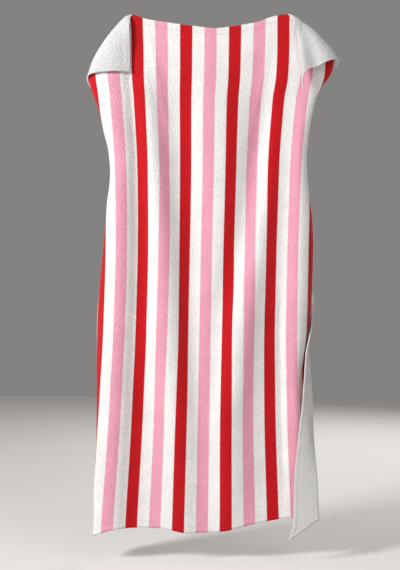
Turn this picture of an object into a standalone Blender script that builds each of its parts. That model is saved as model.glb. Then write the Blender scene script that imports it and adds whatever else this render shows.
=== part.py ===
"""Beach towel held up by its top edge at two grips, with both top corners flopped over to the front.

Metres, +Z up. The front (striped) side faces -Y. The origin is the middle of the top edge.
The cloth is worked out as a bent sheet: places across it are counted in stripes from its centre
line, places down it in metres of cloth, and each level of the hanging cloth has one wavy section
whose length is the cloth's own width. The sheet then gets its thickness.
"""

import bpy
import numpy as np

# Driving dimensions
WIDTH = 1.00  # the towel laid flat
LENGTH = 1.80
THICKNESS = 0.0025  # terry with its pile pressed
STRIPE = 0.0424  # 21 stripes of this width, and a plain margin at each side edge
HALF = WIDTH / 2 / STRIPE  # half the width, in stripes

# The folds of the hanging part, as flanks from the left edge to the right. Each flank runs down
# the towel: at a drop in metres below the origin, the stripe at its middle, and how many degrees
# the cloth turns there. A turn above 0 leads away from the viewer from left to right, and below 0
# towards the viewer.
FLANKS = {
    "left side edge": (
        (0.06, -11.9, -30), (0.16, -11.9, -60), (0.21, -11.9, -85), (0.26, -11.9, -100),
        (1.73, -11.9, -100),
    ),
    "left side turn": (
        (0.06, -10.9, -25), (0.16, -10.9, -50), (0.21, -10.8, -78), (0.25, -10.4, -98),
        (0.31, -9.8, -102), (0.37, -9.6, -100), (0.43, -9.35, -98), (0.50, -9.3, -98),
        (0.55, -9.4, -98), (0.60, -9.65, -98), (0.65, -9.8, -96), (0.74, -10.2, -94),
        (0.83, -10.7, -94), (0.95, -11.25, -96), (1.03, -11.4, -98), (1.13, -11.2, -98),
        (1.29, -10.5, -98), (1.37, -10.2, -98), (1.48, -9.75, -100), (1.60, -9.7, -100),
        (1.73, -9.5, -100),
    ),
    "left pleat front": (
        (0.06, -9.3, -8), (0.16, -9.4, -12), (0.25, -9.3, -18), (0.31, -9.2, -20), (0.37, -9, -20),
        (0.43, -8.7, -20), (0.50, -8.6, -20), (0.55, -8.7, -20), (0.62, -9, -22), (0.70, -9.1, -24),
        (0.78, -9.1, -26), (1.07, -9.1, -28), (1.28, -9.1, -26), (1.45, -9.2, -22),
        (1.60, -9.1, -18), (1.73, -8.8, -14),
    ),
    "left pleat back": (
        (0.06, -7.4, 0), (0.16, -7.3, 12), (0.25, -7.2, 18), (0.50, -7.1, 27), (0.78, -7.1, 30),
        (1.07, -7.2, 29), (1.25, -7.1, 27), (1.41, -7, 25), (1.73, -6.7, 16),
    ),
    "left grip front": (
        (0.06, -6.1, 0), (0.16, -6, -7), (0.25, -6, -14), (0.50, -5.9, -26), (0.78, -5.3, -31),
        (1.07, -5, -32), (1.25, -4.3, -30), (1.41, -3.7, -28), (1.73, -3.3, -18),
    ),
    "left grip back": (
        (0.06, -5.4, 2), (0.16, -5.1, 12), (0.25, -4.8, 22), (0.50, -4, 33), (0.78, -3, 35),
        (1.07, -2.1, 33), (1.25, -1.5, 28), (1.41, -1, 24), (1.73, -0.8, 14),
    ),
    "middle": (
        (0.06, -2, 0), (0.16, -1.8, -2), (0.25, -1.6, -6), (0.50, -0.8, -12), (0.78, -0.4, -16),
        (1.07, -0.2, -10), (1.25, 0, -7), (1.41, 0.1, -4), (1.73, 0.2, -2),
    ),
    "right grip back": (
        (0.06, 3.6, 0), (0.16, 3.9, 8), (0.25, 4, 15), (0.50, 3.4, 27), (0.78, 1.9, 18),
        (1.07, 0.4, 0), (1.25, 0.4, -3), (1.41, 0.4, -6), (1.73, 0.5, -4),
    ),
    "right grip front": (
        (0.06, 5.2, 0), (0.16, 5.4, -8), (0.25, 5.5, -14), (0.50, 5, -28), (0.78, 3.9, -32),
        (1.07, 2, -30), (1.25, 1.4, -28), (1.41, 1, -27), (1.73, 1.1, -16),
    ),
    "right pleat back": (
        (0.06, 6.2, 0), (0.16, 6.5, 4), (0.25, 6.6, 8), (0.50, 6.4, 16), (0.78, 5.5, 25),
        (1.07, 4.6, 30), (1.25, 3.8, 27), (1.41, 3.2, 24), (1.73, 3, 14),
    ),
    "right pleat rest": (
        (0.06, 6.9, 0), (0.16, 7, 3), (0.25, 7.1, 6), (0.50, 7, 14), (0.78, 6.8, 15),
        (1.07, 6.6, 12), (1.25, 6.4, 10), (1.41, 6.2, 8), (1.73, 6, 4),
    ),
    "right pleat front": (
        (0.06, 7.7, -4), (0.16, 7.9, -12), (0.25, 7.9, -20), (0.50, 7.9, -26), (0.78, 7.8, -30),
        (1.07, 7.8, -30), (1.25, 7.9, -24), (1.41, 7.9, -20), (1.73, 8.1, -10),
    ),
    "right side flat": (
        (0.06, 9.4, 6), (0.13, 9.5, 6), (0.154, 9.5, 6), (0.175, 9.3, 8), (0.203, 9.1, 12),
        (0.252, 8.9, 20), (0.37, 8.7, 30), (0.43, 8.7, 34), (0.50, 8.8, 34), (0.57, 9, 32),
        (0.67, 9.2, 28), (0.78, 9.2, 26), (0.95, 9.2, 28), (1.04, 9.2, 34), (1.08, 9.2, 38),
        (1.13, 9.1, 46), (1.17, 9.05, 56), (1.20, 9, 66), (1.25, 9, 70), (1.30, 9, 68),
        (1.37, 9, 60), (1.44, 9, 48), (1.58, 9.1, 14), (1.73, 9.1, -6),
    ),
    "right side turn": (
        (0.06, 10.9, 60), (0.13, 10.9, 98), (0.154, 10.6, 98), (0.175, 10.3, 98), (0.203, 9.8, 98),
        (0.252, 9.5, 98), (0.37, 9.35, 98), (0.43, 9.35, 98), (0.50, 9.55, 96), (0.57, 9.75, 92),
        (0.67, 10, 74), (0.78, 10.1, 66), (0.85, 10.1, 67), (0.95, 10.1, 70), (1.04, 10, 78),
        (1.08, 9.8, 86), (1.13, 9.6, 85), (1.17, 9.5, 82), (1.20, 9.35, 78), (1.25, 9.25, 70),
        (1.30, 9.25, 66), (1.37, 9.3, 56), (1.44, 9.4, 30), (1.58, 9.4, 4), (1.73, 9.4, -6),
    ),
    "right side rear": (
        (0.06, 11.3, 80), (0.13, 11.3, 100), (0.85, 11.3, 98), (0.90, 11.45, 104),
        (0.95, 11.25, 106), (1.00, 11, 106), (1.04, 10.75, 100), (1.08, 10.5, 89), (1.13, 10.35, 86),
        (1.17, 10, 80), (1.20, 9.7, 72), (1.25, 9.45, 60), (1.30, 9.45, 50), (1.37, 9.5, 30),
        (1.44, 9.6, 10), (1.58, 9.6, -2), (1.73, 9.6, -6),
    ),
    "right side return": (
        (0.06, 11.6, 80), (0.13, 11.6, 100), (0.85, 11.65, 98), (0.90, 11.72, 60),
        (0.95, 11.6, -20), (1.00, 11.35, -68), (1.04, 11.1, -78), (1.08, 10.8, -79),
        (1.13, 10.65, -72), (1.17, 10.3, -60), (1.20, 10, -55), (1.25, 9.75, -50),
        (1.30, 9.75, -38), (1.37, 9.8, -10), (1.44, 9.8, 0), (1.58, 9.75, -4), (1.73, 9.7, -6),
    ),
}

# The lower right corner is turned over to the front along a slanting crease.
CREASE = (
    # metres below the origin, crease in stripes, turn beyond the crease in degrees
    (1.00, 12.2, -75), (1.04, 11.75, -90), (1.08, 11.5, -103), (1.13, 11.2, -115),
    (1.17, 10.95, -123), (1.20, 10.8, -127), (1.25, 10.6, -133), (1.30, 10.45, -138),
    (1.37, 10.2, -143), (1.45, 10.0, -152), (1.59, 9.8, -170), (1.73, 9.72, -174),
    (1.80, 9.5, -176),
)
CREASE_BAND = 0.45  # stripes of cloth in the crease's round

# The turned-over cloth leaves the crease this much steeper, and ends this much flatter.
CURL = (
    # drop, degrees
    (1.04, 0), (1.13, 10), (1.25, 24), (1.45, 22), (1.60, 5), (1.80, 0),
)
CURL_SPAN = 0.1  # stripes: the least width of turned-over cloth that counts

# The line the cloth hangs from: its top edge between the grips, and beyond them the slanting
# folds where the two top corners flop over. "over" is the cloth folded over above the line.
HANG = (
    # stripe, x, y, z, over
    (-HALF, -0.4335, -0.010, -0.1700, 0.150),
    (-10.5, -0.4130, -0.008, -0.1110, 0.118),
    (-9.2, -0.3800, -0.006, -0.0520, 0.084),
    (-8.0, -0.3388, -0.003, 0.0040, 0.048),
    (-7.0, -0.3010, 0.000, 0.0400, 0.018),
    (-6.3, -0.2713, 0.000, 0.0473, 0.000),
    (-5.4, -0.2328, 0.000, 0.0333, 0.000),
    (-3.5, -0.1505, 0.000, 0.0193, 0.000),
    (-1.5, -0.0630, 0.000, 0.0077, 0.000),
    (0.4, 0.0175, 0.000, -0.0007, 0.000),
    (1.6, 0.0690, 0.000, 0.0049, 0.000),
    (3.7, 0.1593, 0.000, 0.0203, 0.000),
    (5.3, 0.2258, 0.000, 0.0420, 0.000),
    (6.4, 0.2720, 0.000, 0.0480, 0.000),
    (7.1, 0.3100, 0.000, 0.0330, 0.016),
    (8.3, 0.3560, 0.000, 0.0050, 0.054),
    (9.6, 0.4010, 0.002, -0.0380, 0.092),
    (10.8, 0.4360, 0.004, -0.0790, 0.124),
    (HALF, 0.4540, 0.006, -0.1060, 0.150),
)

# How far below the hang line the cloth has taken up its section.
SETTLE = (
    # stripe, metres
    (-HALF, 0.26), (-10.6, 0.18), (-10.0, 0.13), (-8.0, 0.11), (-6.0, 0.13), (6.0, 0.13),
    (8.0, 0.11), (10.0, 0.06), (HALF, 0.05),
)

# The free edge of each flopped corner, from the grip to the corner's tip.
LEFT_FLAP = (
    # stripe, x, y, z
    (-HALF, -0.2780, -0.014, -0.1560),
    (-10.4, -0.2775, -0.012, -0.1050),
    (-9.0, -0.2780, -0.014, -0.0530),
    (-7.6, -0.2800, -0.016, 0.0010),
    (-6.8, -0.2800, -0.007, 0.0340),
    (-6.3, -0.2713, 0.000, 0.0473),
)
RIGHT_FLAP = (
    # stripe, x, y, z
    (6.3, 0.2675, 0.000, 0.0478),
    (6.9, 0.2870, -0.010, 0.0360),
    (7.8, 0.2950, -0.022, -0.0060),
    (9.2, 0.3060, -0.018, -0.0700),
    (10.5, 0.3140, -0.014, -0.1500),
    (HALF, 0.3239, -0.010, -0.2230),
)

# How far each flap's side edge leaves a straight line, from the tip (0) to the hang line (1). It
# fades towards the grip.
LEFT_FORM = (
    # share of the flap, x, y, z
    (0.0, 0.0, 0.0, 0.0),
    (0.25, 0.0, -0.012, 0.0030),
    (0.50, 0.0, -0.018, 0.0055),
    (0.78, 0.0, -0.015, 0.0060),
    (1.0, 0.0, 0.0, 0.0),
)
RIGHT_FORM = (
    # share of the flap, x, y, z
    (0.0, 0.0, 0.0, 0.0),
    (0.15, -0.023, -0.019, 0.013),
    (0.26, -0.036, -0.036, 0.021),
    (0.35, -0.039, -0.039, 0.027),
    (0.44, -0.035, -0.032, 0.025),
    (0.54, -0.026, -0.022, 0.017),
    (0.68, -0.021, -0.034, 0.014),
    (0.84, -0.012, -0.028, 0.009),
    (1.0, 0.0, 0.0, 0.0),
)
GRIP = 6.4  # the stripe where the flaps start
ROLL = 0.016  # cloth in the half round where a flap turns over
FULL_ROLL = 0.04  # cloth folded over where the half round reaches its full size
LAYER_GAP = 0.011  # between a flap and the cloth behind it
FULL_GAP = 0.03  # cloth folded over where the gap reaches its full width
GAP_FADE = 0.13  # the gap closes over this much cloth below the hang line
LEAST_OVER = 1e-4  # less cloth than this counts as none folded over

# The bottom edge, as metres below the origin.
HEM = (
    # stripe, drop
    (-HALF, 1.772), (-10.0, 1.786), (-9.0, 1.776), (-7.5, 1.756), (-5.8, 1.752), (-3.5, 1.752),
    (-1.0, 1.768), (1.5, 1.762), (3.5, 1.746), (5.5, 1.730), (7.4, 1.718), (9.0, 1.716),
    (9.9, 1.724), (10.8, 1.752), (HALF, 1.792),
)

# How the centre line wanders, and how far the hanging weight draws the cloth in across its width.
CENTRE_LINE = (
    # drop, x, y, width kept
    (0.00, 0.000, 0.000, 1.000),
    (0.06, 0.000, 0.000, 1.003),
    (0.16, -0.001, 0.003, 1.000),
    (0.25, -0.005, 0.008, 0.975),
    (0.50, -0.008, 0.020, 0.950),
    (0.78, -0.014, 0.024, 0.940),
    (1.07, -0.019, 0.020, 0.950),
    (1.41, -0.025, 0.014, 0.970),
    (1.80, -0.031, 0.004, 1.000),
)

# How much wider the loose lower right corner is drawn out, down the towel and across it.
SPREAD = (
    # drop, share
    (1.40, 0.00), (1.48, 0.00), (1.60, 0.06), (1.70, 0.07), (1.80, 0.15),
)
SPREAD_START = 7.5  # stripes
SPREAD_END = 8.0

# The grid of the solid
SECTION_STEPS = 481
DROP_STEP = 0.015
LOWEST = 1.83
HIGHEST = -0.06
LEFT_COLUMNS = np.array(
    [-HALF, -11.35, -11.0, -10.65, -10.3, -9.95, -9.65, -9.35, -9.05, -8.65, -8.1, -7.5]
)
GRIP_COLUMNS = np.array([6.2, 6.5, 6.8, 7.1])  # where a flap starts, in stripes to either side
MIDDLE_END = 5.8  # the middle's columns end here, in stripes to either side
MIDDLE_COLUMNS = 23
RIGHT_COLUMNS = np.array([7.5, 8.0, 8.5])
FARTHEST_REAR = 10.8  # on the right the columns follow the side's turns, and stop here
FARTHEST_RETURN = 11.0
FARTHEST_CREASE = 11.45
CREASE_CLEAR = 0.4  # stripes from the side's last turn to the crease
TURN_COLUMNS = 4
RETURN_COLUMNS = 5
CREASE_COLUMNS = 5
EDGE_COLUMNS = 3
CREASE_SPREAD = 0.27  # stripes to either side of the crease
EDGE_STRIPE = 11.0  # the rows are shared out by the drops at this stripe
FLAP_ROWS = (0.0, 0.40, 0.75, 1.0)  # share of a flap above its roll
ROLL_ROWS = (-0.010, -0.004, 0.002, 0.008, 0.016, 0.028)  # metres past the hang line
ROW_DROPS = (
    # share of the hanging cloth, row
    (0.0, 0), (0.12, 6), (0.46, 14), (0.66, 25), (1.0, 34),
)
HANGING_ROWS = 34
LEAST_FLAP = 0.030  # where nothing is folded over, the flap rows fill this strip


def smooth(t):
    """0 below 0, 1 above 1, and an even ease between."""
    t = np.clip(t, 0.0, 1.0)
    return t * t * (3 - 2 * t)


def curve(x, table, column):
    """A smooth curve through a table's column that never swings past the column's own values."""
    xs = np.array([row[0] for row in table], float)
    ys = np.array([row[column] for row in table], float)
    secant = np.diff(ys) / np.diff(xs)
    before, after = secant[:-1], secant[1:]
    slope = np.zeros_like(ys)
    same = before * after > 0
    slope[1:-1][same] = 2 * before[same] * after[same] / (before[same] + after[same])
    slope[0], slope[-1] = secant[0], secant[-1]
    i = np.clip(np.searchsorted(xs, x) - 1, 0, len(xs) - 2)
    run = xs[i + 1] - xs[i]
    t = np.clip((x - xs[i]) / run, 0.0, 1.0)
    return (
        (2 * t**3 - 3 * t**2 + 1) * ys[i]
        + (t**3 - 2 * t**2 + t) * run * slope[i]
        + (3 * t**2 - 2 * t**3) * ys[i + 1]
        + (t**3 - t**2) * run * slope[i + 1]
    )


def points_on(table, at):
    """The x, y, z columns of a table."""
    return np.stack([curve(at, table, column) for column in (1, 2, 3)], axis=-1)


def sections():
    """Tables of x and y: a row for each drop, a column for each place across the cloth."""
    drops = np.arange(HIGHEST, LOWEST, DROP_STEP)
    across = np.linspace(-HALF, HALF, SECTION_STEPS)
    place = np.stack([curve(drops, rows, 1) for rows in FLANKS.values()], axis=1)
    turn = np.stack([curve(drops, rows, 2) for rows in FLANKS.values()], axis=1)
    x, y = np.zeros((2, len(drops), len(across)))
    step = (across[1] - across[0]) * STRIPE
    for row, drop in enumerate(drops):
        flank = np.clip(np.searchsorted(place[row], across) - 1, 0, len(FLANKS) - 2)
        share = (across - place[row][flank]) / (place[row][flank + 1] - place[row][flank])
        angle = turn[row][flank] + (turn[row][flank + 1] - turn[row][flank]) * smooth(share)
        crease = curve(drop, CREASE, 1)
        turned = smooth((across - crease) / CREASE_BAND + 0.5)
        out = np.clip((across - crease) / max(HALF - crease, CURL_SPAN), 0, 1)
        beyond = curve(drop, CREASE, 2) + curve(drop, CURL, 1) * (1 - 2 * out)
        angle = np.radians(angle * (1 - turned) + beyond * turned)
        loose = smooth((across - SPREAD_START) / (SPREAD_END - SPREAD_START))
        wide = curve(drop, CENTRE_LINE, 3) * (1 + curve(drop, SPREAD, 1) * loose)
        for table, part, column in ((x, np.cos(angle), 1), (y, np.sin(angle), 2)):
            part = part * wide
            run = np.concatenate([[0.0], np.cumsum((part[1:] + part[:-1]) / 2 * step)])
            table[row] = run - run[SECTION_STEPS // 2] + curve(drop, CENTRE_LINE, column)
    return x, y


SECTION_X, SECTION_Y = sections()


def at_section(table, across, drop):
    """The table's value at any place across and any drop."""
    row = np.clip((drop - HIGHEST) / DROP_STEP, 0, len(table) - 1.001)
    column = np.clip((across + HALF) / (2 * HALF) * (SECTION_STEPS - 1), 0, SECTION_STEPS - 1.001)
    i, j = row.astype(int), column.astype(int)
    a, b = row - i, column - j
    upper = table[i, j] * (1 - b) + table[i, j + 1] * b
    lower = table[i + 1, j] * (1 - b) + table[i + 1, j + 1] * b
    return upper * (1 - a) + lower * a


def folded_over(across):
    return np.maximum(curve(across, HANG, 4), 0.0)


def drop_at(across, past):
    """Metres below the origin, at a distance of cloth past the hang line."""
    top = -curve(across, HANG, 3)
    foot = curve(across, HEM, 1)
    return top + (foot - top) * np.maximum(past, 0) / (LENGTH - folded_over(across))


def hanging(across, past):
    """The cloth below the hang line, at a distance past it."""
    top = points_on(HANG, across)
    drop = drop_at(across, past)
    settled = smooth((drop + top[..., 2]) / curve(across, SETTLE, 1))
    x = at_section(SECTION_X, across, drop)
    y = at_section(SECTION_Y, across, drop)
    return np.stack(
        [
            top[..., 0] * (1 - settled) + x * settled,
            top[..., 1] * (1 - settled) + y * settled,
            -drop,
        ],
        axis=-1,
    )


def flap(across, share):
    """The flopped corner: share is 0 at its free edge and 1 at the hang line."""
    left = (across < 0)[..., None]
    edge = np.where(left, points_on(LEFT_FLAP, across), points_on(RIGHT_FLAP, across))
    form = np.where(left, points_on(LEFT_FORM, share), points_on(RIGHT_FORM, share))
    far = smooth((np.abs(across) - GRIP) / (HALF - GRIP))[..., None]
    share = share[..., None]
    return edge * (1 - share) + points_on(HANG, across) * share + form * far


def bare(across, past):
    """The sheet with a sharp fold at the hang line. past is below 0 on a flap."""
    over = folded_over(across)
    share = np.clip(1 + past / np.maximum(over, LEAST_OVER), 0, 1)
    on_flap = (past < 0) & (over > LEAST_OVER)
    point = np.where(on_flap[..., None], flap(across, share), hanging(across, past))
    apart = LAYER_GAP * smooth(over / FULL_GAP)
    behind = np.where(on_flap, 0.0, smooth(1 - past / GAP_FADE))
    point[..., 1] += apart * (behind - 0.5)
    return point


def sheet(across, down):
    """The middle of the cloth: across in stripes, down in metres of cloth from the top edge."""
    over = folded_over(across)
    reach = ROLL / 2 * smooth(over / FULL_ROLL)
    point = 0
    for step, weight in ((-2, 1), (-1, 4), (0, 6), (1, 4), (2, 1)):
        past = np.maximum(down - over + step * reach, -over)
        point = point + bare(across, past) * weight / 16
    return point


def right_columns(drop):
    """The columns right of the grip, which follow the side's turns and the crease down the towel."""
    front = curve(drop, FLANKS["right side turn"], 1)
    rear = min(curve(drop, FLANKS["right side rear"], 1), FARTHEST_REAR)
    back = min(curve(drop, FLANKS["right side return"], 1), FARTHEST_RETURN)
    front = min(front, rear - CREASE_SPREAD)
    crease = np.clip(curve(drop, CREASE, 1), back + CREASE_CLEAR, FARTHEST_CREASE)
    return np.concatenate(
        [
            RIGHT_COLUMNS,
            np.linspace(RIGHT_COLUMNS[-1], front, TURN_COLUMNS)[1:],
            np.linspace(front, rear, TURN_COLUMNS)[1:],
            np.linspace(rear, back, RETURN_COLUMNS)[1:],
            [(back + crease - CREASE_SPREAD) / 2],
            np.linspace(crease - CREASE_SPREAD, crease + CREASE_SPREAD, CREASE_COLUMNS),
            np.linspace(crease + CREASE_SPREAD, HALF, EDGE_COLUMNS)[1:],
        ]
    )


def grid_places():
    """Where the solid's columns and rows lie on the flat cloth, closer together at the folds."""
    middle = np.linspace(-MIDDLE_END, MIDDLE_END, MIDDLE_COLUMNS)
    edge_past = LENGTH - folded_over(EDGE_STRIPE) - ROLL_ROWS[-1]
    numbers = [number for _, number in ROW_DROPS]
    falls = np.interp(range(HANGING_ROWS + 1), numbers, [fall for fall, _ in ROW_DROPS])
    rows = []
    for row in range(len(FLAP_ROWS) + len(ROLL_ROWS) + HANGING_ROWS):
        hanging_row = row - len(FLAP_ROWS) - len(ROLL_ROWS)
        fall = falls[max(hanging_row + 1, 0)]
        right = right_columns(drop_at(EDGE_STRIPE, ROLL_ROWS[-1] + edge_past * fall))
        across = np.concatenate([LEFT_COLUMNS, -GRIP_COLUMNS[::-1], middle, GRIP_COLUMNS, right])
        over = np.maximum(folded_over(across), LEAST_FLAP)
        if row < len(FLAP_ROWS):
            down = (over - LEAST_FLAP / 2) * FLAP_ROWS[row]
        elif hanging_row < 0:
            down = over + ROLL_ROWS[row - len(FLAP_ROWS)]
        else:
            start = over + ROLL_ROWS[-1]
            down = start + (LENGTH - start) * fall
        rows.append((across, down))
    return (np.stack([row[i] for row in rows]) for i in (0, 1))


def normals(points):
    """The unit normal of a grid of points, towards the front."""
    along = np.gradient(points, axis=1)
    down = np.gradient(points, axis=0)
    normal = np.cross(down, along)
    return normal / np.linalg.norm(normal, axis=-1, keepdims=True)


def closed_sheet(name, middle, thickness):
    """A mesh with a front and a back grid and a rim that joins them."""
    rows, columns = middle.shape[:2]
    normal = normals(middle)
    front = middle + normal * thickness / 2
    back = middle - normal * thickness / 2
    index = np.arange(rows * columns).reshape(rows, columns)
    a, b, c, d = index[:-1, :-1], index[:-1, 1:], index[1:, 1:], index[1:, :-1]
    quads = np.stack([a, d, c, b], axis=-1).reshape(-1, 4)
    behind = rows * columns
    rim = np.concatenate([index[0], index[1:, -1], index[-1, -2::-1], index[-2:0:-1, 0]])
    after = np.roll(rim, -1)
    sides = np.stack([rim, after, after + behind, rim + behind], axis=-1)
    faces = np.concatenate([quads, quads[:, ::-1] + behind, sides])
    mesh = bpy.data.meshes.new(name)
    points = np.concatenate([front.reshape(-1, 3), back.reshape(-1, 3)])
    mesh.from_pydata(points.tolist(), [], faces.tolist())
    mesh.update()
    return mesh


TERRY_COLOUR = (0.86, 0.84, 0.82, 1.0)
TERRY_ROUGHNESS = 0.95
SHARP_ANGLE = 50  # degrees: the rim stays crisp and the folds look round


def terry(name):
    material = bpy.data.materials.new(name)
    material.use_nodes = True
    shader = material.node_tree.nodes["Principled BSDF"]
    shader.inputs["Base Color"].default_value = TERRY_COLOUR
    shader.inputs["Roughness"].default_value = TERRY_ROUGHNESS
    shader.inputs["Metallic"].default_value = 0.0
    return material


def build():
    for thing in list(bpy.data.objects):
        bpy.data.objects.remove(thing)
    across, down = grid_places()
    mesh = closed_sheet("towel", sheet(across, down), THICKNESS)
    mesh.materials.append(terry("terry_white"))
    mesh.shade_smooth()
    mesh.set_sharp_from_angle(angle=np.radians(SHARP_ANGLE))
    towel = bpy.data.objects.new("towel", mesh)
    bpy.context.scene.collection.objects.link(towel)


build()
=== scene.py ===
import math

import bpy
import numpy as np
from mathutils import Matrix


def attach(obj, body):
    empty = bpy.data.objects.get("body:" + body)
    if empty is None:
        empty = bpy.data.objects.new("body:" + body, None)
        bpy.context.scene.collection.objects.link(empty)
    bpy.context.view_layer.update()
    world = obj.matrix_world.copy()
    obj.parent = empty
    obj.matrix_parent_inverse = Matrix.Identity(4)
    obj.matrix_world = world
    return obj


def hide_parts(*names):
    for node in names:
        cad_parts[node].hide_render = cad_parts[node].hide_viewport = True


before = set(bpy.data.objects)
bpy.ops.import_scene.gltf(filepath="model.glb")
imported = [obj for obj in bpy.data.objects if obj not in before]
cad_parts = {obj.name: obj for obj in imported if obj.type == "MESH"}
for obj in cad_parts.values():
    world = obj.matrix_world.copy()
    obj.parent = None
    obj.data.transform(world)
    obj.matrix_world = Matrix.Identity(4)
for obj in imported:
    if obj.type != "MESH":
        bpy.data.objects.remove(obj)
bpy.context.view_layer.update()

print("frame loaded")


# small helpers

def linearColour(hexText):
    # sRGB hex to linear: below 0.04045 divide by 12.92, above it ((c + 0.055) / 1.055) ^ 2.4
    parts = [int(hexText[i:i + 2], 16) / 255 for i in (1, 3, 5)]
    return tuple(c / 12.92 if c <= 0.04045 else ((c + 0.055) / 1.055) ** 2.4 for c in parts) + (1.0,)


def addNode(tree, kind, settings=None, inputs=None):
    # settings are the node's own properties; an input is a plain value or another node's output
    node = tree.nodes.new(kind)
    for name, value in (settings or {}).items():
        setattr(node, name, value)
    for name, value in (inputs or {}).items():
        if isinstance(value, bpy.types.NodeSocket):
            tree.links.new(value, node.inputs[name])
        else:
            node.inputs[name].default_value = value
    return node


def easeStep(t):
    # 3t^2 - 2t^3, held at 0 below 0 and at 1 above 1
    t = np.clip(t, 0.0, 1.0)
    return t * t * (3 - 2 * t)


def curveAt(x, table, column):
    # smooth curve through one column of a table that never swings past its own values: cubic Hermite,
    # with the slope at each row the harmonic mean of the slopes to its two sides, or 0 at a turning point
    xs = np.array([row[0] for row in table], float)
    ys = np.array([row[column] for row in table], float)
    secant = np.diff(ys) / np.diff(xs)
    before, after = secant[:-1], secant[1:]
    slope = np.zeros_like(ys)
    same = before * after > 0
    slope[1:-1][same] = 2 * before[same] * after[same] / (before[same] + after[same])
    slope[0], slope[-1] = secant[0], secant[-1]
    i = np.clip(np.searchsorted(xs, x) - 1, 0, len(xs) - 2)
    run = xs[i + 1] - xs[i]
    t = np.clip((x - xs[i]) / run, 0.0, 1.0)
    return ((2 * t**3 - 3 * t**2 + 1) * ys[i] + (t**3 - 2 * t**2 + t) * run * slope[i]
            + (3 * t**2 - 2 * t**3) * ys[i + 1] + (t**3 - t**2) * run * slope[i + 1])


# how the towel hangs: the solid's folds, but the hidden left edge behind its flopped corner
# takes up its turn higher than the solid's does

towelShape = {
    "width": 1.00,            # metres, laid flat
    "length": 1.80,
    "stripe": 0.0424,         # width of one stripe
    "pile": 0.0025,           # thickness with the pile pressed
    "rollCloth": 0.016,       # cloth in the half round where a corner flops over
    "rollFull": 0.04,         # cloth folded over where the half round has its full size
    "layerGap": 0.011,        # between a flopped corner and the cloth behind it
    "gapFull": 0.03,          # cloth folded over where the gap has its full width
    "gapFade": 0.13,          # the gap closes over this much cloth below the hanging line
    "creaseBand": 0.45,       # stripes of cloth in the lapel's crease
    "gripStripe": 6.4,        # where a flopped corner starts
    "leastFold": 1e-4,        # less cloth than this counts as none folded over
    "leastLapel": 0.1,        # stripes: the least width of turned-over cloth that counts
}
halfStripes = towelShape["width"] / 2 / towelShape["stripe"]

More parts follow.
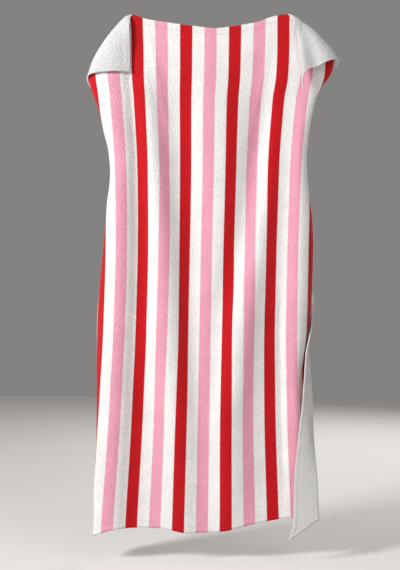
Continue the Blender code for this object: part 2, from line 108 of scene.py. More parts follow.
# Each flank of the folds runs down the towel: drop in metres, the stripe at its middle, and how many
# degrees the cloth turns there. A turn above 0 leads away from the viewer from left to right.
foldFlanks = {
    "leftSideEdge": (
        (0.06, -11.9, -80), (0.16, -11.9, -100), (1.73, -11.9, -100),
    ),
    "leftSideTurn": (
        (0.06, -10.9, -60), (0.16, -10.9, -100), (0.21, -10.8, -100), (0.25, -10.4, -100),
        (0.31, -9.8, -102), (0.37, -9.6, -100), (0.43, -9.35, -98), (0.50, -9.3, -98),
        (0.55, -9.4, -98), (0.60, -9.65, -98), (0.65, -9.8, -96), (0.74, -10.2, -94),
        (0.83, -10.7, -94), (0.95, -11.25, -96), (1.03, -11.4, -98), (1.13, -11.2, -98),
        (1.29, -10.5, -98), (1.37, -10.2, -98), (1.48, -9.75, -100), (1.60, -9.7, -100),
        (1.73, -9.5, -100),
    ),
    "leftPleatFront": (
        (0.06, -9.3, -8), (0.16, -9.4, -12), (0.25, -9.3, -18), (0.31, -9.2, -20), (0.37, -9, -20),
        (0.43, -8.7, -20), (0.50, -8.6, -20), (0.55, -8.7, -20), (0.62, -9, -22), (0.70, -9.1, -24),
        (0.78, -9.1, -26), (1.07, -9.1, -28), (1.28, -9.1, -26), (1.45, -9.2, -22),
        (1.60, -9.1, -18), (1.73, -8.8, -14),
    ),
    "leftPleatBack": (
        (0.06, -7.4, 0), (0.16, -7.3, 12), (0.25, -7.2, 18), (0.50, -7.1, 27), (0.78, -7.1, 30),
        (1.07, -7.2, 29), (1.25, -7.1, 27), (1.41, -7, 25), (1.73, -6.7, 16),
    ),
    "leftGripFront": (
        (0.06, -6.1, 0), (0.16, -6, -7), (0.25, -6, -14), (0.50, -5.9, -26), (0.78, -5.3, -31),
        (1.07, -5, -32), (1.25, -4.3, -30), (1.41, -3.7, -28), (1.73, -3.3, -18),
    ),
    "leftGripBack": (
        (0.06, -5.4, 2), (0.16, -5.1, 12), (0.25, -4.8, 22), (0.50, -4, 33), (0.78, -3, 35),
        (1.07, -2.1, 33), (1.25, -1.5, 28), (1.41, -1, 24), (1.73, -0.8, 14),
    ),
    "middle": (
        (0.06, -2, 0), (0.16, -1.8, -2), (0.25, -1.6, -6), (0.50, -0.8, -12), (0.78, -0.4, -16),
        (1.07, -0.2, -10), (1.25, 0, -7), (1.41, 0.1, -4), (1.73, 0.2, -2),
    ),
    "rightGripBack": (
        (0.06, 3.6, 0), (0.16, 3.9, 8), (0.25, 4, 15), (0.50, 3.4, 27), (0.78, 1.9, 18),
        (1.07, 0.4, 0), (1.25, 0.4, -3), (1.41, 0.4, -6), (1.73, 0.5, -4),
    ),
    "rightGripFront": (
        (0.06, 5.2, 0), (0.16, 5.4, -8), (0.25, 5.5, -14), (0.50, 5, -28), (0.78, 3.9, -32),
        (1.07, 2, -30), (1.25, 1.4, -28), (1.41, 1, -27), (1.73, 1.1, -16),
    ),
    "rightPleatBack": (
        (0.06, 6.2, 0), (0.16, 6.5, 4), (0.25, 6.6, 8), (0.50, 6.4, 16), (0.78, 5.5, 25),
        (1.07, 4.6, 30), (1.25, 3.8, 27), (1.41, 3.2, 24), (1.73, 3, 14),
    ),
    "rightPleatRest": (
        (0.06, 6.9, 0), (0.16, 7, 3), (0.25, 7.1, 6), (0.50, 7, 14), (0.78, 6.8, 15),
        (1.07, 6.6, 12), (1.25, 6.4, 10), (1.41, 6.2, 8), (1.73, 6, 4),
    ),
    "rightPleatFront": (
        (0.06, 7.7, -4), (0.16, 7.9, -12), (0.25, 7.9, -20), (0.50, 7.9, -26), (0.78, 7.8, -30),
        (1.07, 7.8, -30), (1.25, 7.9, -24), (1.41, 7.9, -20), (1.73, 8.1, -10),
    ),
    "rightSideFlat": (
        (0.06, 9.4, 6), (0.13, 9.5, 6), (0.154, 9.5, 6), (0.175, 9.3, 8), (0.203, 9.1, 12),
        (0.252, 8.9, 20), (0.37, 8.7, 30), (0.43, 8.7, 34), (0.50, 8.8, 34), (0.57, 9, 32),
        (0.67, 9.2, 28), (0.78, 9.2, 26), (0.95, 9.2, 28), (1.04, 9.2, 34), (1.08, 9.2, 38),
        (1.13, 9.1, 46), (1.17, 9.05, 56), (1.20, 9, 66), (1.25, 9, 70), (1.30, 9, 68),
        (1.37, 9, 60), (1.44, 9, 48), (1.58, 9.1, 14), (1.73, 9.1, -6),
    ),
    "rightWallFront": (
        (0.06, 10.9, 60), (0.13, 10.9, 98), (0.154, 10.6, 98), (0.175, 10.3, 98), (0.203, 9.8, 98),
        (0.252, 9.5, 98), (0.37, 9.35, 98), (0.43, 9.35, 98), (0.50, 9.55, 96), (0.57, 9.75, 92),
        (0.67, 10, 74), (0.78, 10.1, 66), (0.85, 10.1, 67), (0.95, 10.1, 70), (1.04, 10, 78),
        (1.08, 9.8, 86), (1.13, 9.6, 85), (1.17, 9.5, 82), (1.20, 9.35, 78), (1.25, 9.25, 70),
        (1.30, 9.25, 66), (1.37, 9.3, 56), (1.44, 9.4, 30), (1.58, 9.4, 4), (1.73, 9.4, -6),
    ),
    "rightWallRear": (
        (0.06, 11.3, 80), (0.13, 11.3, 100), (0.85, 11.3, 98), (0.90, 11.45, 104),
        (0.95, 11.25, 106), (1.00, 11, 106), (1.04, 10.75, 100), (1.08, 10.5, 89), (1.13, 10.35, 86),
        (1.17, 10, 80), (1.20, 9.7, 72), (1.25, 9.45, 60), (1.30, 9.45, 50), (1.37, 9.5, 30),
        (1.44, 9.6, 10), (1.58, 9.6, -2), (1.73, 9.6, -6),
    ),
    "rightReturn": (
        (0.06, 11.6, 80), (0.13, 11.6, 100), (0.85, 11.65, 98), (0.90, 11.72, 60),
        (0.95, 11.6, -20), (1.00, 11.35, -68), (1.04, 11.1, -78), (1.08, 10.8, -79),
        (1.13, 10.65, -72), (1.17, 10.3, -60), (1.20, 10, -55), (1.25, 9.75, -50),
        (1.30, 9.75, -38), (1.37, 9.8, -10), (1.44, 9.8, 0), (1.58, 9.75, -4), (1.73, 9.7, -6),
    ),
}
lapelCrease = (  # drop, crease in stripes, turn beyond it
    (1.00, 12.2, -75), (1.04, 11.75, -90), (1.08, 11.5, -103), (1.13, 11.2, -115), (1.17, 10.95, -123),
    (1.20, 10.8, -127), (1.25, 10.6, -133), (1.30, 10.45, -138), (1.37, 10.2, -143),
    (1.45, 10.0, -152), (1.59, 9.8, -170), (1.73, 9.72, -174), (1.80, 9.5, -176),
)
cornerSpread = (  # drop, how much wider the loose corner is drawn out
    (1.40, 0.00), (1.48, 0.00), (1.60, 0.06), (1.70, 0.07), (1.80, 0.15),
)
spreadStart, spreadEnd = 7.5, 8.0  # stripes
lapelCurl = (  # drop, degrees: the lapel leaves its crease this much steeper and ends this much flatter
    (1.04, 0), (1.13, 10), (1.25, 24), (1.45, 22), (1.60, 5), (1.80, 0),
)
hangTable = (  # stripe, x, y, z, cloth folded over above the line
    (-halfStripes, -0.4335, -0.010, -0.1700, 0.150), (-10.5, -0.4130, -0.008, -0.1110, 0.118),
    (-9.2, -0.3800, -0.006, -0.0520, 0.084), (-8.0, -0.3388, -0.003, 0.0040, 0.048),
    (-7.0, -0.3010, 0.000, 0.0400, 0.018), (-6.3, -0.2713, 0.000, 0.0473, 0.000),
    (-5.4, -0.2328, 0.000, 0.0333, 0.000), (-3.5, -0.1505, 0.000, 0.0193, 0.000),
    (-1.5, -0.0630, 0.000, 0.0077, 0.000), (0.4, 0.0175, 0.000, -0.0007, 0.000),
    (1.6, 0.0690, 0.000, 0.0049, 0.000), (3.7, 0.1593, 0.000, 0.0203, 0.000),
    (5.3, 0.2258, 0.000, 0.0420, 0.000), (6.4, 0.2720, 0.000, 0.0480, 0.000),
    (7.1, 0.3100, 0.000, 0.0330, 0.016), (8.3, 0.3560, 0.000, 0.0050, 0.054),
    (9.6, 0.4010, 0.002, -0.0380, 0.092), (10.8, 0.4360, 0.004, -0.0790, 0.124),
    (halfStripes, 0.4540, 0.006, -0.1060, 0.150),
)
settleTable = (  # stripe, how far below the hanging line the cloth has taken up its folds
    (-halfStripes, 0.06), (-10.0, 0.07), (-8.0, 0.11), (-6.0, 0.13), (6.0, 0.13), (8.0, 0.11),
    (10.0, 0.06), (halfStripes, 0.05),
)
leftFlapEdge = (  # stripe, x, y, z
    (-halfStripes, -0.2780, -0.014, -0.1560), (-10.4, -0.2775, -0.012, -0.1050),
    (-9.0, -0.2780, -0.014, -0.0530), (-7.6, -0.2800, -0.016, 0.0010),
    (-6.8, -0.2800, -0.007, 0.0340), (-6.3, -0.2713, 0.000, 0.0473),
)
rightFlapEdge = (
    (6.3, 0.2675, 0.000, 0.0478), (6.9, 0.2870, -0.010, 0.0360), (7.8, 0.2950, -0.022, -0.0060),
    (9.2, 0.3060, -0.018, -0.0700), (10.5, 0.3140, -0.014, -0.1500),
    (halfStripes, 0.3239, -0.010, -0.2230),
)
leftFlapForm = (  # share of the flap, x, y, z that its side edge leaves the straight line
    (0.0, 0.0, 0.0, 0.0), (0.25, 0.0, -0.012, 0.0030), (0.50, 0.0, -0.018, 0.0055),
    (0.78, 0.0, -0.015, 0.0060), (1.0, 0.0, 0.0, 0.0),
)
rightFlapForm = (
    (0.0, 0.0, 0.0, 0.0), (0.15, -0.023, -0.019, 0.013), (0.26, -0.036, -0.036, 0.021),
    (0.35, -0.039, -0.039, 0.027), (0.44, -0.035, -0.032, 0.025), (0.54, -0.026, -0.022, 0.017),
    (0.68, -0.021, -0.034, 0.014), (0.84, -0.012, -0.028, 0.009), (1.0, 0.0, 0.0, 0.0),
)
hemTable = (  # stripe, drop of the bottom edge
    (-halfStripes, 1.772), (-10.0, 1.786), (-9.0, 1.776), (-7.5, 1.756), (-5.8, 1.752),
    (-3.5, 1.752), (-1.0, 1.768), (1.5, 1.762), (3.5, 1.746), (5.5, 1.730), (7.4, 1.718),
    (9.0, 1.716), (9.9, 1.724), (10.8, 1.752), (halfStripes, 1.792),
)
centreLine = (  # drop, x, y, width kept
    (0.00, 0.000, 0.000, 1.000), (0.06, 0.000, 0.000, 1.003), (0.16, -0.001, 0.003, 1.000),
    (0.25, -0.005, 0.008, 0.975),
    (0.50, -0.008, 0.020, 0.950), (0.78, -0.014, 0.024, 0.940), (1.07, -0.019, 0.020, 0.950),
    (1.41, -0.025, 0.014, 0.970), (1.80, -0.031, 0.004, 1.000),
)

sectionGrid = {
    "steps": 481,             # places across the cloth
    "dropStep": 0.015,        # metres
    "highest": -0.06,
    "lowest": 1.83,
}
sectionSteps = sectionGrid["steps"]
sectionDrops = np.arange(sectionGrid["highest"], sectionGrid["lowest"], sectionGrid["dropStep"])


def sectionTables():
    # at each drop: the cloth's turn runs smoothly from flank to flank, and x and y are the running
    # sums of its cosine and sine times the step along the cloth, centred on the centre line
    across = np.linspace(-halfStripes, halfStripes, sectionSteps)
    step = (across[1] - across[0]) * towelShape["stripe"]
    place = np.stack([curveAt(sectionDrops, rows, 1) for rows in foldFlanks.values()], 1)
    turn = np.stack([curveAt(sectionDrops, rows, 2) for rows in foldFlanks.values()], 1)
    flank = (across[None, :, None] > place[:, None, :]).sum(-1) - 1
    flank = np.clip(flank, 0, len(foldFlanks) - 2)
    left, right = (np.take_along_axis(place, flank + k, 1) for k in (0, 1))
    turnLeft, turnRight = (np.take_along_axis(turn, flank + k, 1) for k in (0, 1))
    angle = turnLeft + (turnRight - turnLeft) * easeStep((across - left) / (right - left))
    crease = curveAt(sectionDrops, lapelCrease, 1)[:, None]
    out = np.clip((across - crease) / np.maximum(halfStripes - crease, towelShape["leastLapel"]), 0, 1)
    beyond = curveAt(sectionDrops, lapelCrease, 2)[:, None]
    beyond = beyond + curveAt(sectionDrops, lapelCurl, 1)[:, None] * (1 - 2 * out)
    turned = easeStep((across - crease) / towelShape["creaseBand"] + 0.5)
    angle = np.radians(angle * (1 - turned) + beyond * turned)
    spread = easeStep((across - spreadStart) / (spreadEnd - spreadStart))
    wide = curveAt(sectionDrops, centreLine, 3)[:, None]
    wide = wide * (1 + curveAt(sectionDrops, cornerSpread, 1)[:, None] * spread)
    tables = []
    for part, column in ((np.cos(angle) * wide, 1), (np.sin(angle) * wide, 2)):
        run = np.cumsum((part[:, 1:] + part[:, :-1]) / 2 * step, axis=1)
        run = np.concatenate([np.zeros((len(sectionDrops), 1)), run], axis=1)
        middle = run[:, sectionSteps // 2][:, None]
        tables.append(run - middle + curveAt(sectionDrops, centreLine, column)[:, None])
    return tables


sectionX, sectionY = sectionTables()


def atSection(table, across, drop):
    # bilinear look-up of a section table; 1.001 keeps it inside the last row and column
    row = np.clip((drop - sectionDrops[0]) / sectionGrid["dropStep"], 0, len(table) - 1.001)
    share = (across + halfStripes) / (2 * halfStripes)
    column = np.clip(share * (sectionSteps - 1), 0, sectionSteps - 1.001)
    i, j = row.astype(int), column.astype(int)
    a, b = row - i, column - j
    upper = table[i, j] * (1 - b) + table[i, j + 1] * b
    lower = table[i + 1, j] * (1 - b) + table[i + 1, j + 1] * b
    return upper * (1 - a) + lower * a


def foldedOver(across):
    return np.maximum(curveAt(across, hangTable, 4), 0.0)


def hangingLine(across):
    return np.stack([curveAt(across, hangTable, column) for column in (1, 2, 3)], axis=-1)


def hangingCloth(across, past):
    # drop grows evenly from the hanging line to the hem, and the place runs from the hanging
    # line's own x, y to the folded section's over the settling length
    top = hangingLine(across)
    whole = towelShape["length"] - foldedOver(across)
    drop = -top[..., 2] + (curveAt(across, hemTable, 1) + top[..., 2]) * np.maximum(past, 0) / whole
    settled = easeStep((drop + top[..., 2]) / curveAt(across, settleTable, 1))
    x = top[..., 0] * (1 - settled) + atSection(sectionX, across, drop) * settled
    y = top[..., 1] * (1 - settled) + atSection(sectionY, across, drop) * settled
    return np.stack([x, y, -drop], axis=-1)


def floppedCorner(across, share):
    # straight from the free edge (share 0) to the hanging line (share 1), plus the corner's own form,
    # which fades towards the grip
    left = (across < 0)[..., None]
    edge, form = (np.where(left, *(np.stack([curveAt(place, table, c) for c in (1, 2, 3)], axis=-1)
                                   for table in tables))
                  for place, tables in ((across, (leftFlapEdge, rightFlapEdge)),
                                        (share, (leftFlapForm, rightFlapForm))))
    grip = towelShape["gripStripe"]
    far = easeStep((np.abs(across) - grip) / (halfStripes - grip))[..., None]
    share = share[..., None]
    return edge * (1 - share) + hangingLine(across) * share + form * far


def sharpSheet(across, past):
    # flopped corner above the hanging line, hanging cloth below it, half a gap to either side
    over = foldedOver(across)
    share = np.clip(1 + past / np.maximum(over, towelShape["leastFold"]), 0, 1)
    onFlap = (past < 0) & (over > towelShape["leastFold"])
    point = np.where(onFlap[..., None], floppedCorner(across, share), hangingCloth(across, past))
    apart = towelShape["layerGap"] * easeStep(over / towelShape["gapFull"])
    behind = np.where(onFlap, 0.0, easeStep(1 - past / towelShape["gapFade"]))
    point[..., 1] += apart * (behind - 0.5)
    return point


def clothMiddle(across, down):
    # the sharp sheet averaged along the cloth with weights 1 4 6 4 1 out of 16, which rounds the fold
    over = foldedOver(across)
    reach = towelShape["rollCloth"] / 2 * easeStep(over / towelShape["rollFull"])
    point = 0
    for step, weight in ((-2, 1), (-1, 4), (0, 6), (1, 4), (2, 1)):
        point = point + sharpSheet(across, np.maximum(down - over + step * reach, -over)) * weight / 16
    return point


# the finished cloth

clothGrid = {
    "leftColumns": 32,        # from the left edge to the grip
    "gripColumns": 14,
    "middleColumns": 78,
    "gripOuter": 7.5,         # stripes from the middle, where the grip's columns start
    "gripInner": 5.8,         # and where they end
    "sideStart": 8.4,         # stripes; from here on the columns follow the lapel's crease
    "toSideColumns": 7,
    "beforeColumns": 20,
    "creaseColumns": 13,
    "afterColumns": 14,
    "creaseSpread": 0.27,     # stripes to either side of the crease
    "creaseNearest": 9.65,    # the columns stay between these stripes
    "creaseFarthest": 11.25,
    "edgeStripe": 11.0,       # the crease is looked up by the drops at this stripe
    "flapRows": 24,
    "flapCrowding": 1.4,      # above 1 the rows crowd at the free edge
    "leastFlap": 0.030,       # metres; where nothing is folded over, the flap's rows fill this strip
    "flapClear": 0.016,       # they stop this far above the hanging line
    "rollRows": 16,
    "rollStart": -0.012,      # metres past the hanging line
    "rollEnd": 0.034,
    "hangingRows": 196,
    "hemPull": 0.012,         # how strongly the last rows are drawn towards the hem
    "hemPullStart": 0.9,      # share of the hanging cloth where that starts
}
clothDetail = {
    "endHem": 0.023,          # double-turned hem at the top and bottom ends
    "sideHem": 0.012,         # narrow hem down each long side
    "hemRise": 0.0011,        # how much a hem stands proud on each side
    "hemStep": 0.004,         # width of the step at a hem's inner edge
    "hemPast": 0.003,         # the step starts this far past the stitches
    "stitchSink": 0.0015,     # how deep the row of stitches pulls in
    "stitchReach": 0.0025,    # half width of the dip at the stitches
    "deepestDip": -0.0008,    # a dip goes no deeper than this on each side
    "creaseFadeIn": 0.2,      # share of a soft crease's length where it starts
    "creaseFadeOut": 0.3,     # and where it dies out
}
softCreases = (
    # stripe and metres down at both ends, half width in metres, height (below 0 sinks in)
    (6.95, 0.95, 7.05, 1.80, 0.010, -0.0062),
    (-6.9, 0.05, -6.3, 0.60, 0.016, -0.0025),
    (-5.2, 0.02, -3.4, 0.42, 0.014, 0.0025),
    (4.9, 0.02, 3.9, 0.40, 0.014, 0.0025),
)


def clothPlaces():
    # columns crowd at the crease and the grips; rows crowd at the free edge, the roll and the hem
    grid = clothGrid
    outer, inner = grid["gripOuter"], grid["gripInner"]
    left = np.linspace(-halfStripes, -outer, grid["leftColumns"])
    leftGrip = np.linspace(-outer, -inner, grid["gripColumns"])[1:-1]
    middle = np.linspace(-inner, inner, grid["middleColumns"])
    rightGrip = np.linspace(inner, outer, grid["gripColumns"])[1:-1]
    toSide = np.linspace(outer, grid["sideStart"], grid["toSideColumns"])
    edgeTop, edgeFoot = -curveAt(grid["edgeStripe"], hangTable, 3), curveAt(grid["edgeStripe"], hemTable, 1)
    flapShares = np.linspace(0, 1, grid["flapRows"]) ** grid["flapCrowding"]
    rollPast = np.linspace(grid["rollStart"], grid["rollEnd"], grid["rollRows"])
    t = np.linspace(0, 1, grid["hangingRows"] + 1)[1:]
    pull = easeStep((t - grid["hemPullStart"]) / (1 - grid["hemPullStart"]))
    hangShares = t + grid["hemPull"] * np.sin(math.pi * t) * pull
    rows = []
    for row in range(grid["flapRows"] + grid["rollRows"] + grid["hangingRows"]):
        hangingRow = row - grid["flapRows"] - grid["rollRows"]
        fall = hangShares[hangingRow] if hangingRow >= 0 else 0.0
        crease = curveAt(edgeTop + (edgeFoot - edgeTop) * fall, lapelCrease, 1)
        crease = np.clip(crease, grid["creaseNearest"], grid["creaseFarthest"])
        spread = grid["creaseSpread"]
        turn = np.linspace(crease - spread, crease + spread, grid["creaseColumns"])
        before = np.linspace(grid["sideStart"], turn[0], grid["beforeColumns"])[1:-1]
        after = np.linspace(turn[-1], halfStripes, grid["afterColumns"])[1:]
        across = np.concatenate([left, leftGrip, middle, rightGrip, toSide, before, turn, after])
        over = np.maximum(foldedOver(across), grid["leastFlap"])
        if row < grid["flapRows"]:
            down = (over - grid["flapClear"]) * flapShares[row]
        elif hangingRow < 0:
            down = over + rollPast[row - grid["flapRows"]]
        else:
            start = over + rollPast[-1]
            down = start + (towelShape["length"] - start) * fall
        rows.append((across, down))
    return (np.stack([row[i] for row in rows]) for i in (0, 1))


def unitNormals(points):
    # cross product of the grid's two directions, towards the front
    normal = np.cross(np.gradient(points, axis=0), np.gradient(points, axis=1))
    return normal / np.linalg.norm(normal, axis=-1, keepdims=True)


def creaseHeight(across, down):
    # each crease is a bell across its line, fading in and out towards its ends
    height = np.zeros_like(across)
    for fromStripe, fromDown, toStripe, toDown, halfWidth, rise in softCreases:
        ax, ay = fromStripe * towelShape["stripe"], fromDown
        bx, by = toStripe * towelShape["stripe"], toDown
        px, py = across * towelShape["stripe"], down
        length = math.hypot(bx - ax, by - ay)
        along = ((px - ax) * (bx - ax) + (py - ay) * (by - ay)) / length**2
        aside = ((px - ax) * (by - ay) - (py - ay) * (bx - ax)) / length
        ends = easeStep(along / clothDetail["creaseFadeIn"])
        ends = ends * easeStep((1 - along) / clothDetail["creaseFadeOut"])
        height += rise * np.exp(-((aside / halfWidth) ** 2)) * ends
    return height


def hemThickness(across, down):
    # added to each side: a low step over the hem's width, less a narrow dip at its stitches
    added = np.zeros_like(across)
    side = (halfStripes - np.abs(across)) * towelShape["stripe"]
    end = np.minimum(down, towelShape["length"] - down)
    for inset, hem in ((side, clothDetail["sideHem"]), (end, clothDetail["endHem"])):
        step = easeStep((hem + clothDetail["hemPast"] - inset) / clothDetail["hemStep"])
        stitches = np.exp(-(((inset - hem) / clothDetail["stitchReach"]) ** 2))
        added = np.maximum(added, clothDetail["hemRise"] * step) - clothDetail["stitchSink"] * stitches
    return np.maximum(added, clothDetail["deepestDip"])


def makeTowel():
    # front and back are the middle moved half the thickness along its normal, and a rim joins them
    across, down = clothPlaces()
    middle = clothMiddle(across, down)
    normal = unitNormals(middle)
    middle = middle + normal * creaseHeight(across, down)[..., None]
    half = (towelShape["pile"] / 2 + hemThickness(across, down))[..., None]
    front, back = middle + normal * half, middle - normal * half
    rows, columns = across.shape
    index = np.arange(rows * columns).reshape(rows, columns)
    a, b, c, d = index[:-1, :-1], index[:-1, 1:], index[1:, 1:], index[1:, :-1]
    quads = np.stack([a, d, c, b], axis=-1).reshape(-1, 4)
    behind = rows * columns
    rim = np.concatenate([index[0], index[1:, -1], index[-1, -2::-1], index[-2:0:-1, 0]])
    after = np.roll(rim, -1)
    sides = np.stack([rim, after, after + behind, rim + behind], axis=-1)
    faces = np.concatenate([quads, quads[:, ::-1] + behind, sides])
    points = np.concatenate([front.reshape(-1, 3), back.reshape(-1, 3)])

    mesh = bpy.data.meshes.new("towelCloth")
    mesh.vertices.add(len(points))
    mesh.vertices.foreach_set("co", points.ravel())
    mesh.loops.add(faces.size)
    mesh.loops.foreach_set("vertex_index", faces.ravel().astype(np.int32))
    mesh.polygons.add(len(faces))
    mesh.polygons.foreach_set("loop_start", np.arange(0, faces.size, 4, dtype=np.int32))
    mesh.update(calc_edges=True)
    mesh.validate()
    flat = np.stack([across.ravel(), down.ravel()], axis=-1)
    flat = np.concatenate([flat, flat])
    layer = mesh.uv_layers.new(name="clothPlace")  # stripes across, metres down
    layer.data.foreach_set("uv", flat[faces.ravel()].ravel().astype(np.float32))
    finish = np.zeros(len(faces), np.int32)
    finish[len(quads):] = 1  # back and rim are plain, in a white drawn greyer than the front's: painted shade
    mesh.polygons.foreach_set("material_index", finish)
    mesh.polygons.foreach_set("use_smooth", np.ones(len(faces), bool))
    towel = bpy.data.objects.new("towelCloth", mesh)
    bpy.context.scene.collection.objects.link(towel)
    return towel


towelCloth = makeTowel()
print("towel cloth made:", len(towelCloth.data.polygons), "faces")


# woven terry cotton

terryFinish = {
    "white": "#F2F0EE",
    "red": "#C60C18",
    "pink": "#EDA4B8",
    # the back's white is the same cotton as the front's white, drawn greyer as painted shade
    "backWhiteWithPaintedShade": "#DBDAD9",
    "stripedTo": 11.0,         # stripes from the middle; the margins beyond have no pink
    "edgeSoftness": 0.04,      # stripes; about 2 mm, one row of loops
    "edgeWander": 0.04,        # stripes that the loops push a stripe's edge to and fro
    "loopSize": 0.0044,        # metres; real loops are 1.5 to 2 mm, drawn coarser so that they show
    "tuftSize": 0.011,         # metres between the thicker tufts of pile
    "tuftShare": 0.5,          # how much the tufts add to the loops
    "layScale": 9.0,           # to the metre: patches about 110 mm wide where the pile lies one way
    "layLeast": 0.96,          # light that the darkest and the palest patch give back
    "layMost": 1.04,
    "betweenLeast": 0.87,      # painted shade between the loops and painted light on their tops
    "betweenMost": 1.045,
    "pileDepth": 0.0038,       # metres of relief, as coarse as the loops
    "pileStrength": 0.9,
    "stitchShade": 0.10,       # how much painted shade darkens the sunken row of hem stitches
    "stitchHalf": 0.0016,      # metres, half its width
    "roughness": 0.95,
    "ior": 1.5,                # cotton fibre
    "specular": 0.10,          # the loops break up nearly all of the shine
    "sheen": 0.10,
    "sheenRoughness": 0.6,
}


def terryMaterial(name, striped):
    # woven terry cotton with its stripes dyed in the warp: matt, with a fine uneven grain of loops that
    # catches the light and has painted shade between the loops, and stripes whose edges are soft by the
    # width of a loop
    material = bpy.data.materials.new(name)
    material.use_nodes = True
    tree = material.node_tree
    tree.nodes.clear()
    place = addNode(tree, "ShaderNodeUVMap", {"uv_map": "clothPlace"}).outputs["UV"]
    parts = addNode(tree, "ShaderNodeSeparateXYZ", {}, {"Vector": place})
    fromMiddle = addNode(tree, "ShaderNodeMath", {"operation": "ABSOLUTE"}, {0: parts.outputs["X"]})
    # the same place in metres both ways
    metres = addNode(tree, "ShaderNodeMapping", {}, {"Vector": place, "Scale": (towelShape["stripe"], 1, 1)})
    metres = metres.outputs["Vector"]
    loops = addNode(tree, "ShaderNodeTexNoise", {"noise_dimensions": "2D"}, {
        "Vector": metres, "Scale": 1 / terryFinish["loopSize"], "Detail": 2.0, "Roughness": 0.6})
    tufts = addNode(tree, "ShaderNodeTexNoise", {"noise_dimensions": "2D"}, {
        "Vector": metres, "Scale": 1 / terryFinish["tuftSize"], "Detail": 1.0, "Roughness": 0.5})
    lay = addNode(tree, "ShaderNodeTexNoise", {"noise_dimensions": "2D"}, {
        "Vector": metres, "Scale": terryFinish["layScale"], "Detail": 2.0, "Roughness": 0.5})
    grain = addNode(tree, "ShaderNodeMath", {"operation": "MULTIPLY_ADD"}, {
        0: tufts.outputs["Fac"], 1: terryFinish["tuftShare"], 2: loops.outputs["Fac"]})

    if striped:
        jitter = addNode(tree, "ShaderNodeMath", {"operation": "MULTIPLY_ADD"}, {
            0: loops.outputs["Fac"], 1: terryFinish["edgeWander"], 2: parts.outputs["X"]})
        centred = addNode(tree, "ShaderNodeMath", {"operation": "SUBTRACT"}, {
            0: jitter.outputs["Value"], 1: terryFinish["edgeWander"] / 2})
        # 0 in the middle of a pink stripe, 1 in a white one, 2 in a red one
        wave = addNode(tree, "ShaderNodeMath", {"operation": "PINGPONG"}, {
            0: centred.outputs["Value"], 1: 2.0})
        soft = terryFinish["edgeSoftness"]
        pinkShare = addNode(tree, "ShaderNodeMapRange", {"interpolation_type": "SMOOTHSTEP"}, {
            "Value": wave.outputs["Value"], "From Min": 0.5 - soft, "From Max": 0.5 + soft,
            "To Min": 1.0, "To Max": 0.0})
        redShare = addNode(tree, "ShaderNodeMapRange", {"interpolation_type": "SMOOTHSTEP"}, {
            "Value": wave.outputs["Value"], "From Min": 1.5 - soft, "From Max": 1.5 + soft,
            "To Min": 0.0, "To Max": 1.0})
        inStripes = addNode(tree, "ShaderNodeMath", {"operation": "LESS_THAN"}, {
            0: fromMiddle.outputs["Value"], 1: terryFinish["stripedTo"]})
        pinkShare = addNode(tree, "ShaderNodeMath", {"operation": "MULTIPLY"}, {
            0: pinkShare.outputs["Result"], 1: inStripes.outputs["Value"]})
        pinked = addNode(tree, "ShaderNodeMix", {"data_type": "RGBA"}, {
            "Factor": pinkShare.outputs["Value"], 6: linearColour(terryFinish["white"]),
            7: linearColour(terryFinish["pink"])})
        dyed = addNode(tree, "ShaderNodeMix", {"data_type": "RGBA"}, {
            "Factor": redShare.outputs["Result"], 6: pinked.outputs[2],
            7: linearColour(terryFinish["red"])}).outputs[2]
    else:
        # the back is the same white cotton as the front, drawn greyer: painted shade
        dyed = linearColour(terryFinish["backWhiteWithPaintedShade"])[:3]

    # painted shade between the loops and painted light on their tops, and the pile lies unevenly over the
    # towel
    between = addNode(tree, "ShaderNodeMapRange", {}, {
        "Value": grain.outputs["Value"], "From Min": 0.45, "From Max": 1.05,
        "To Min": terryFinish["betweenLeast"], "To Max": terryFinish["betweenMost"]})
    laid = addNode(tree, "ShaderNodeMapRange", {}, {
        "Value": lay.outputs["Fac"], "From Min": 0.3, "From Max": 0.7,
        "To Min": terryFinish["layLeast"], "To Max": terryFinish["layMost"]})
    shadeOf = addNode(tree, "ShaderNodeMath", {"operation": "MULTIPLY"}, {
        0: between.outputs["Result"], 1: laid.outputs["Result"]})
    # painted shade along the rows of stitches, which run where the hems end: metres in from the long sides
    # and from the two ends
    sideIn = addNode(tree, "ShaderNodeMath", {"operation": "MULTIPLY_ADD"}, {
        0: fromMiddle.outputs["Value"], 1: -towelShape["stripe"], 2: towelShape["width"] / 2})
    endIn = addNode(tree, "ShaderNodeMath", {"operation": "PINGPONG"}, {
        0: parts.outputs["Y"], 1: towelShape["length"] / 2})
    for inward, hem in ((sideIn, clothDetail["sideHem"]), (endIn, clothDetail["endHem"])):
        away = addNode(tree, "ShaderNodeMath", {"operation": "COMPARE"}, {
            0: inward.outputs["Value"], 1: hem, 2: terryFinish["stitchHalf"]})
        shadeOf = addNode(tree, "ShaderNodeMath", {"operation": "MULTIPLY_ADD"}, {
            0: away.outputs["Value"], 1: -terryFinish["stitchShade"], 2: shadeOf.outputs["Value"]})
    toned = addNode(tree, "ShaderNodeVectorMath", {"operation": "SCALE"}, {
        0: dyed, "Scale": shadeOf.outputs["Value"]})
    bump = addNode(tree, "ShaderNodeBump", {}, {
        "Strength": terryFinish["pileStrength"], "Distance": terryFinish["pileDepth"],
        "Height": grain.outputs["Value"]})
    shader = addNode(tree, "ShaderNodeBsdfPrincipled", {}, {
        "Base Color": toned.outputs["Vector"], "Roughness": terryFinish["roughness"],
        "IOR": terryFinish["ior"], "Specular IOR Level": terryFinish["specular"],
        "Sheen Weight": terryFinish["sheen"], "Sheen Roughness": terryFinish["sheenRoughness"],
        "Normal": bump.outputs["Normal"]})
    addNode(tree, "ShaderNodeOutputMaterial", {}, {"Surface": shader.outputs["BSDF"]})
    return material


towelCloth.data.materials.append(terryMaterial("wovenTerryCottonStriped", True))
towelCloth.data.materials.append(terryMaterial("wovenTerryCottonPlainWithPaintedShade", False))
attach(towelCloth, "root")
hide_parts("towel")
print("terry finishes on")


# studio

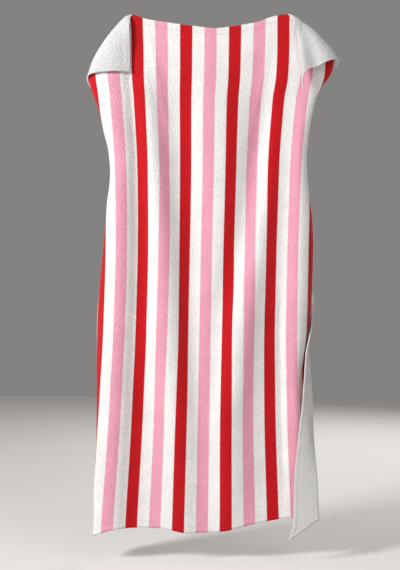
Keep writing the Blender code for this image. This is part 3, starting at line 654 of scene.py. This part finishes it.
studio = {
    "floorHeight": -1.873,
    "floorHalf": 6.0,          # metres from its middle to each side
    "floorRoughness": 0.8,
    "floorColour": "#E4E1DE",
    "surroundColour": "#D8D5D2",
    "surroundStrength": 0.34,
    "keyPlace": (-3.5, -2.9, 1.0),
    "keyPower": 236,
    "keySize": 1.1,
    "fillPlace": (1.9, -2.5, 1.3),
    "fillPower": 31,
    "fillSize": 2.5,
    "backPlace": (1.6, 3.6, 1.0),   # a soft light on the plain back
    "backPower": 90,
    "backSize": 2.5,
    "lightAim": (-0.03, 0.0, -0.9),  # all the lights point here
    "cameraPlace": (-0.03675, -4.0, -0.8995),
    "lens": 72.18,
    "sensorWidth": 36,
}


def makeFloor():
    # one flat square
    s, z = studio["floorHalf"], studio["floorHeight"]
    mesh = bpy.data.meshes.new("studioFloor")
    mesh.from_pydata([(-s, -s, z), (s, -s, z), (s, s, z), (-s, s, z)], [], [(0, 1, 2, 3)])
    floor = bpy.data.objects.new("studioFloor", mesh)
    bpy.context.scene.collection.objects.link(floor)
    paint = bpy.data.materials.new("paleStudioFloor")
    paint.use_nodes = True
    shader = paint.node_tree.nodes["Principled BSDF"]
    shader.inputs["Base Color"].default_value = linearColour(studio["floorColour"])
    shader.inputs["Roughness"].default_value = studio["floorRoughness"]
    mesh.materials.append(paint)
    return floor


def areaLight(name, place, power, size):
    data = bpy.data.lights.new(name, "AREA")
    data.energy = power
    data.size = size
    light = bpy.data.objects.new(name, data)
    light.location = place
    aim = np.array(studio["lightAim"]) - np.array(place)
    light.rotation_euler = (math.atan2(math.hypot(aim[0], aim[1]), -aim[2]), 0,
                            math.atan2(aim[1], aim[0]) - math.pi / 2)
    bpy.context.scene.collection.objects.link(light)


makeFloor()
areaLight("keyLight", studio["keyPlace"], studio["keyPower"], studio["keySize"])
areaLight("fillLight", studio["fillPlace"], studio["fillPower"], studio["fillSize"])
areaLight("backLight", studio["backPlace"], studio["backPower"], studio["backSize"])

world = bpy.data.worlds.new("studioSurround")
world.use_nodes = True
world.node_tree.nodes["Background"].inputs["Color"].default_value = linearColour(studio["surroundColour"])
world.node_tree.nodes["Background"].inputs["Strength"].default_value = studio["surroundStrength"]
bpy.context.scene.world = world

cameraData = bpy.data.cameras.new("frontCamera")
cameraData.lens = studio["lens"]
cameraData.sensor_width = studio["sensorWidth"]
frontCamera = bpy.data.objects.new("frontCamera", cameraData)
frontCamera.location = studio["cameraPlace"]
frontCamera.rotation_euler = (math.pi / 2, 0, 0)
bpy.context.scene.collection.objects.link(frontCamera)
bpy.context.scene.camera = frontCamera
bpy.context.scene.view_settings.view_transform = "Standard"
print("studio set")
